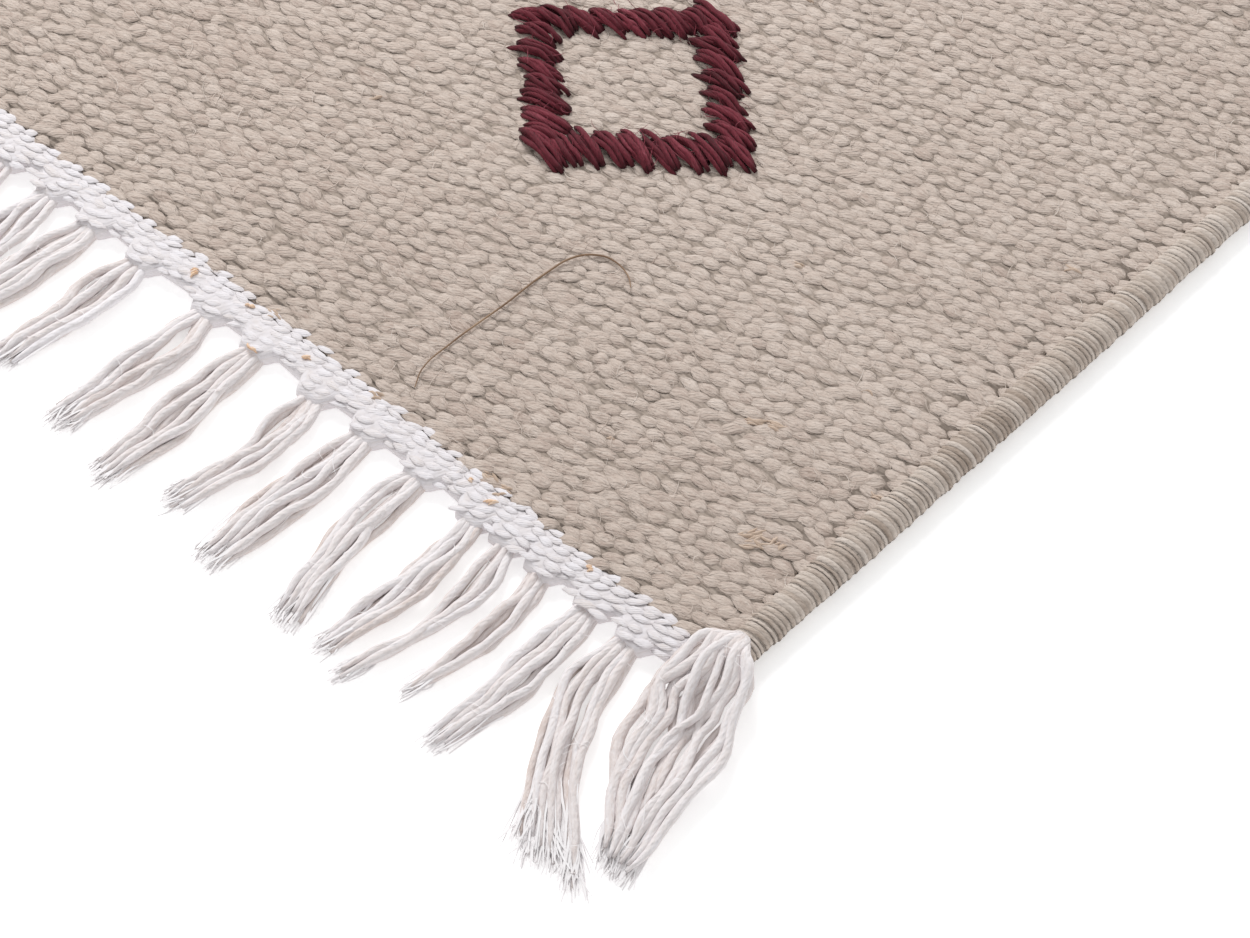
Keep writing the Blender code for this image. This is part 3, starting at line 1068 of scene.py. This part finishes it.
def make_fringe(name, node, seed, turn, samples, sides, plies):
    rng = np.random.default_rng(seed)
    cords, tips = [], []
    for number, row in enumerate(FRONT_ROWS):
        paths = cord_paths(row, rng, samples, number == 0)
        cords.append(paths)
        more = max(0, int(row["tip"]) - 9)
        tips.append(fray(paths, rng, plies + more, 5, row["tip"] / 9))
    cords = np.concatenate(cords) + np.array(CORNER)
    tips = np.concatenate(tips) + np.array(CORNER)
    for paths in (cords, tips):
        paths[:, :, :2] *= turn
    t = np.linspace(0, 1, samples)[None]
    radius = CORD_RADIUS * (1 - 0.6 * ease((t - 0.82) / 0.18))
    radius = radius * (1 + 0.08 * rng.normal(0, 1, (len(cords), 1)))
    radius = radius * (1 + 0.07 * np.sin(2 * math.pi * 5 * t + rng.uniform(0, 6, (len(cords), 1))))
    thin = PLY_RADIUS * (1 - 0.5 * np.linspace(0, 1, 5)[None]) * rng.uniform(0.6, 1.3, (len(tips), 1))
    layers = np.concatenate([np.arange(row["cords"]) % 2 for row in FRONT_ROWS])
    radius = np.minimum(radius, cords[:, :, 2])
    thin = np.minimum(thin, tips[:, :, 2])
    # Painted shade: cords of the lower layer get a darker tone, which shows in the gaps between the upper
    # cords; each cord also differs a little at random.
    tone = 0.32 + 0.25 * layers + 0.12 * rng.normal(0, 1, len(cords))
    whole = make_tubes(name, cords, radius, sides, COTTON_CORD, tone, seed)
    frayed = make_tubes(name + "_frayed_ends", tips, thin, 3, COTTON_PLY, np.full(len(tips), 0.7), seed + 1)
    return [settle(whole, "cotton_cord", node), settle(frayed, "cotton_cord")], cords


fringes, front_cords = make_fringe("tassels_front", "fringe_front", 21, 1, 26, 8, 9)
back_fringe, _ = make_fringe("tassels_back", "fringe_back", 22, -1, 14, 6, 3)
fringes += back_fringe

# %% [markdown]
# ## Diamonds
#
# The diamonds are stitched over the finished weave with thick, loosely plied yarn. Each stitch
# follows a row of weft, crosses the width of the outline and dives into the cloth at both ends. It
# is drawn as seven strands, one in the middle and six that turn up to a quarter round it, all arched
# over the beads. The strands spread a little past the stitch's ends, so the stitches are laid short.

# %% Stitch the diamonds
STITCH_PITCH = 4.6 * MM
STRANDS = 7
STRAND_RADIUS = 0.85 * MM
BUNDLE = (2.0 * MM, 1.0 * MM)  # how far a stitch's strands lie from its middle, across and up
STITCH_RISE = 1.5 * MM
HOLE_PART = (33.7 / 48.5, 29.7 / 42.0)  # where stitches end at the open middle, by half diagonal
STITCH_LEAN = {(-1, -1): 0.22, (1, -1): -0.15, (1, 1): 0.06, (-1, 1): 0.03}  # by side and end


def stitch_rows(half_x, half_y, rng):
    """Left end, right end, height on the cloth and slant of each stitch of one diamond."""
    hole_x, hole_y = half_x * HOLE_PART[0], half_y * HOLE_PART[1]
    rows = int(2 * (half_y - 1.5 * MM) / STITCH_PITCH)
    found = []
    for row in range(rows):
        y = ((row + 0.5) / rows * 2 - 1) * (half_y - 1.5 * MM)
        outer = half_x * (1 - abs(y) / half_y)
        inner = hole_x * (1 - abs(y) / hole_y)
        if inner < -6 * MM or outer < 7.5 * MM:
            found.append((-outer - 5.0 * MM, outer + 4.5 * MM, y, -0.08 + rng.normal(0, 0.05)))
            continue
        for side in (-1, 1):
            short = 2.4 * (side < 0) * (abs(y) < half_y / 2)  # the left side's middle stitches are shorter
            start, stop = max(inner, -1.5 * MM) - 0.8 * MM, outer + (0.8 - short) * MM
            lean = STITCH_LEAN[(side, 1 if y > 0 else -1)] + rng.normal(0, 0.06)
            found.append((side * start, side * stop, y, lean))
    return found


def stitch_strands(ends, rng, samples):
    """The strands of one stitch as paths round its middle line."""
    start, stop, y, slant = ends
    start, stop = sorted((start, stop))
    t = np.linspace(0, 1, samples)
    centre = (start + stop) / 2
    line_y = y + rng.normal(0, 0.35) * MM
    rise = STITCH_RISE * (1 + 0.15 * rng.normal())
    twist = rng.uniform(0, 2 * math.pi)
    turning = rng.uniform(0.8, 1.6)
    paths = []
    for strand in range(STRANDS):
        low, high = start + rng.normal(0, 0.9) * MM, stop + rng.normal(0, 0.9) * MM
        x = low + (high - low) * t
        arch = np.clip(np.sin(math.pi * (0.03 + 0.94 * t)), 0, 1) ** 0.5
        phase = twist + 2 * math.pi * strand / (STRANDS - 1) + turning * t
        reach = (0.0 if strand == 0 else 1.0) * (0.75 + 0.25 * arch)
        across = BUNDLE[0] * reach * np.cos(phase) + rng.normal(0, 0.35) * MM
        across = across + 0.35 * MM * np.sin(2 * math.pi * (rng.uniform(0.7, 1.6) * t + rng.random()))
        z = FIELD_TOP - 1.9 * MM + (1.9 * MM + rise) * arch + BUNDLE[1] * reach * np.sin(phase)
        paths.append(np.stack([x, line_y + math.tan(slant) * (x - centre) + across, z], -1))
    return paths


def make_diamond(node, seed, samples, sides):
    low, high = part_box(node)
    rng = np.random.default_rng(seed)
    half_x, half_y = (high.x - low.x) / 2, (high.y - low.y) / 2
    paths, tones = [], []
    for ends in stitch_rows(half_x, half_y, rng):
        strands = stitch_strands(ends, rng, samples)
        paths += strands
        shade = rng.normal(0, 0.12)
        tones += [0.45 + shade + rng.normal(0, 0.1) for _ in strands]
    paths = np.array(paths) + np.array([(low.x + high.x) / 2, (low.y + high.y) / 2, 0.0])
    t = np.linspace(0, 1, samples)[None]
    radius = STRAND_RADIUS * (0.75 + 0.25 * np.sin(math.pi * t) ** 0.5)
    radius = radius * rng.uniform(0.85, 1.2, (len(paths), 1))
    stitches = make_tubes(node + "_stitches", paths, radius, sides, BURGUNDY, tones, seed, shaded_ends=0.8)
    return settle(stitches, "burgundy_yarn", node)


for number, node in enumerate(DIAMOND_NODES):
    make_diamond(node, 40 + number, 10, 5)

# %% [markdown]
# ## Fuzz
#
# Handspun wool is hairy. Short fine hairs stand off the weave near the front right corner, off every
# diamond and off the front cords, most of them lying nearly flat. They are the thinnest tubes here,
# with three sides each.

# %% Scatter the hairs
def make_hairs(name, middles, length, lift, thickness, material, seed):
    """Curled hairs, one from each point in middles; lift is how steeply they may stand."""
    rng = np.random.default_rng(seed)
    count = len(middles)
    heading = rng.uniform(0, 2 * math.pi, (count, 1))
    curl = rng.normal(0, 0.9, (count, 1))
    size = length * rng.uniform(0.5, 1.5, (count, 1))
    t = np.linspace(-0.5, 0.5, 5)[None]
    turned = heading + curl * t
    x = middles[:, :1] + size * t * np.cos(turned)
    y = middles[:, 1:2] + size * t * np.sin(turned)
    z = middles[:, 2:3] + lift * rng.uniform(-1, 1, (count, 1)) * t + lift * rng.uniform(0, 0.6, (count, 1))
    radius = thickness * (1 - 1.3 * np.abs(t)) * rng.uniform(0.6, 1.2, (count, 1))
    tone = 0.7 + 0.2 * rng.normal(0, 1, count)
    return make_tubes(name, np.stack([x, y, z], -1), radius, 3, material, tone, seed)


def fuzz_on_weft(count, seed):
    rng = np.random.default_rng(seed)
    chosen = rng.choice(np.flatnonzero(close), count)
    x = weft["x"][chosen] + rng.uniform(-3, 3, count) * MM
    y = weft["y"][chosen] + rng.uniform(-2, 2, count) * MM
    return np.stack([x, y, FIELD_TOP + SWELL * swell(x, y) - 0.3 * MM], -1)


def fuzz_on_diamond(node, count, seed):
    low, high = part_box(node)
    rng = np.random.default_rng(seed)
    spot = rng.uniform(0, 2 * math.pi, count)
    round_x, round_y = np.cos(spot), np.sin(spot)
    part = rng.uniform(0.64, 1.04, count) / (np.abs(round_x) + np.abs(round_y))
    x = (low.x + high.x) / 2 + (high.x - low.x) / 2 * round_x * part
    y = (low.y + high.y) / 2 + (high.y - low.y) / 2 * round_y * part
    return np.stack([x, y, FIELD_TOP + rng.uniform(0.3, 2.4, count) * MM], -1)


wool_fuzz = make_hairs(
    "wool_fuzz", fuzz_on_weft(1100, 61), 6 * MM, 1.2 * MM, 0.11 * MM, WOOL_WEFT, 62
)
fuzz = [settle(wool_fuzz, "natural_wool")]
red_spots = [fuzz_on_diamond(node, 170, 70 + number) for number, node in enumerate(DIAMOND_NODES)]
red_fuzz = make_hairs("red_fuzz", np.concatenate(red_spots), 5 * MM, 1.6 * MM, 0.13 * MM, BURGUNDY, 63)
fuzz.append(settle(red_fuzz, "burgundy_yarn"))

rng = np.random.default_rng(64)
loose_spots = front_cords[rng.integers(0, len(front_cords), 380), rng.integers(4, 25, 380)]
cotton_fuzz = make_hairs(
    "cotton_fuzz",
    loose_spots + np.array([0.0, 0.0, CORD_RADIUS]),
    6 * MM,
    1.2 * MM,
    0.12 * MM,
    COTTON_PLY,
    65,
)
fuzz.append(settle(cotton_fuzz, "cotton_cord"))

# %% [markdown]
# ## Slubs and stray tufts
#
# Machine-carded yarn would be even. This yarn keeps slubs of brown wool that never took the spin, and
# a few tufts of orange fluff have been caught in the white rows. Each is a handful of short strands,
# thick in the middle, thin at both ends and partly sunk in the weave, so that together they show as a
# small smudge. They are listed by where they are, how long they are and which way they run.

# %% List the slubs and tufts, in millimetres from the front right corner
FLECK_COLUMNS = ("x", "y", "z", "length", "spread", "turn", "strands")
SLUBS = (
    (-53.0, 74.5, 5.1, 5.5, 0.7, 30, 9),
    (-48.0, 77.0, 5.1, 5.0, 0.7, 20, 9),
    (-27.5, 44.5, 5.3, 6.5, 1.4, 60, 10),
    (-25.0, 43.0, 5.3, 6.0, 1.6, 20, 8),
    (-21.0, 46.5, 5.2, 5.0, 1.2, 100, 6),
    (-12.0, 77.0, 5.3, 5.0, 0.9, 20, 3),
    (-37.5, 105.0, 5.2, 4.0, 0.6, 10, 3),
    (-81.5, 126.0, 5.2, 3.5, 0.5, 30, 3),
    (-24.5, 179.5, 5.2, 4.5, 0.7, 15, 3),
    (-77.5, 43.0, 5.0, 2.6, 0.4, 40, 3),
    (-150.0, 210.0, 5.2, 3.5, 0.5, 0, 3),
    (-214.0, 88.0, 5.2, 3.5, 0.5, 70, 2),
    (-86.0, 9.5, 5.0, 4.5, 1.4, 10, 6),
    (-92.0, 9.5, 5.0, 4.5, 1.2, 0, 5),
    (-134.0, 9.5, 5.0, 4.0, 1.0, 15, 4),
    (-176.0, 9.5, 5.0, 4.5, 1.2, 0, 5),
)
TUFTS = (
    (-157.0, 5.0, 5.6, 2.4, 0.5, 45, 6),
    (-202.0, 5.0, 5.6, 2.4, 0.5, 80, 5),
    (-181.5, 7.5, 5.5, 2.4, 0.7, 20, 3),
    (-85.5, 4.0, 5.5, 3.0, 0.8, 60, 4),
    (-94.5, 6.0, 5.5, 2.0, 0.4, 10, 2),
    (-51.5, 6.0, 5.5, 2.4, 0.6, 30, 3),
    (-170.5, -3.5, 4.9, 3.0, 0.5, 0, 3),
)
# Here too the second colour is the painted shade.
SLUB_WOOL = spun_yarn(
    "brown_unspun_wool",
    [(0.0, "b49f8d"), (0.5, "c7b19f"), (1.0, "d7c6b7")],
    "ae9c8c",
    ply=0.6 * MM,
    depths=(0.10 * MM, 0.02 * MM, 0.04 * MM),
    roughness=0.92,
    sheen=0.05,
)
ORANGE_FLUFF = spun_yarn(
    "orange_fluff",
    [(0.0, "e0b692"), (0.5, "ebcaac"), (1.0, "f2dfcd")],
    "d2ad90",
    ply=0.6 * MM,
    depths=(0.05 * MM, 0.01 * MM, 0.02 * MM),
    roughness=0.9,
    sheen=0.05,
)


def make_flecks(name, rows, radius, material, seed):
    """Short bent strands round each listed place."""
    rng = np.random.default_rng(seed)
    t = np.linspace(-0.5, 0.5, 7)
    paths = []
    for values in rows:
        row = dict(zip(FLECK_COLUMNS, values))
        for _ in range(row["strands"]):
            angle = math.radians(row["turn"] + rng.normal(0, 16)) + rng.normal(0, 0.45) * t
            size = row["length"] * rng.uniform(0.6, 1.15)
            x = row["x"] + 0.8 * rng.normal(0, row["spread"]) + size * t * np.cos(angle)
            y = row["y"] + 0.8 * rng.normal(0, row["spread"]) + size * t * np.sin(angle)
            z = row["z"] - 0.3 + rng.uniform(-0.15, 0.1) + 0.35 * np.cos(math.pi * t)
            paths.append(np.stack([x, y, z], -1) * MM + np.array(CORNER))
    thin = radius * (0.35 + 0.65 * np.cos(math.pi * t)[None]) * rng.uniform(0.7, 1.3, (len(paths), 1))
    tone = 0.5 + 0.15 * rng.normal(0, 1, len(paths))
    return make_tubes(name, np.array(paths), thin, 5, material, tone, seed)


flecks = [
    settle(make_flecks("brown_slubs", SLUBS, 0.46 * MM, SLUB_WOOL, 81), "natural_wool"),
    settle(make_flecks("orange_tufts", TUFTS, 0.40 * MM, ORANGE_FLUFF, 82), "white_cotton"),
]

# %% [markdown]
# ## A loose fibre
#
# One coarse brown hair was never spun in. It lies on the weave near the corner in a long open curve.

# %% Lay the loose fibre
FIBRE_ROUTE = (  # from the front right corner, in millimetres
    (-128.0, 18.0),
    (-131.0, 24.0),
    (-132.0, 36.0),
    (-131.0, 57.0),
    (-131.0, 73.0),
    (-129.0, 83.5),
    (-124.5, 89.0),
    (-120.0, 90.0),
    (-114.0, 89.0),
    (-110.0, 86.0),
)
fibre_curve = bpy.data.curves.new("loose_fibre", "CURVE")
fibre_curve.dimensions = "3D"
fibre_curve.bevel_depth = 0.3 * MM
fibre_curve.bevel_resolution = 2
fibre_curve.use_fill_caps = True
fibre_curve.resolution_u = 8
spline = fibre_curve.splines.new("BEZIER")
spline.bezier_points.add(len(FIBRE_ROUTE) - 1)
for number, (point, (x, y)) in enumerate(zip(spline.bezier_points, FIBRE_ROUTE)):
    height = FIELD_TOP + (0.2 + 0.35 * (number % 2)) * MM
    point.co = CORNER + Vector((x * MM, y * MM, height))
    point.handle_left_type = point.handle_right_type = "AUTO"
    point.radius = 0.55 + 0.5 * math.sin(math.pi * number / (len(FIBRE_ROUTE) - 1))
fibre = bpy.data.objects.new("loose_fibre", fibre_curve)
scene.collection.objects.link(fibre)

hair = bpy.data.materials.new("coarse_brown_hair")
hair.use_nodes = True
tree = hair.node_tree
shader = tree.nodes["Principled BSDF"]
uneven = add_node(tree, "ShaderNodeTexNoise", {"Scale": 160.0, "Detail": 2.0})
colour = add_node(
    tree,
    "ShaderNodeValToRGB",
    {"Fac": uneven.outputs["Fac"]},
    stops=[(0.3, "6f5138"), (0.55, "93755a"), (0.8, "b09478")],
)
tree.links.new(colour.outputs["Color"], shader.inputs["Base Color"])
shader.inputs["Roughness"].default_value = 0.55
shader.inputs["IOR"].default_value = 1.55
fibre_curve.materials.append(hair)
settle(fibre, "natural_wool")
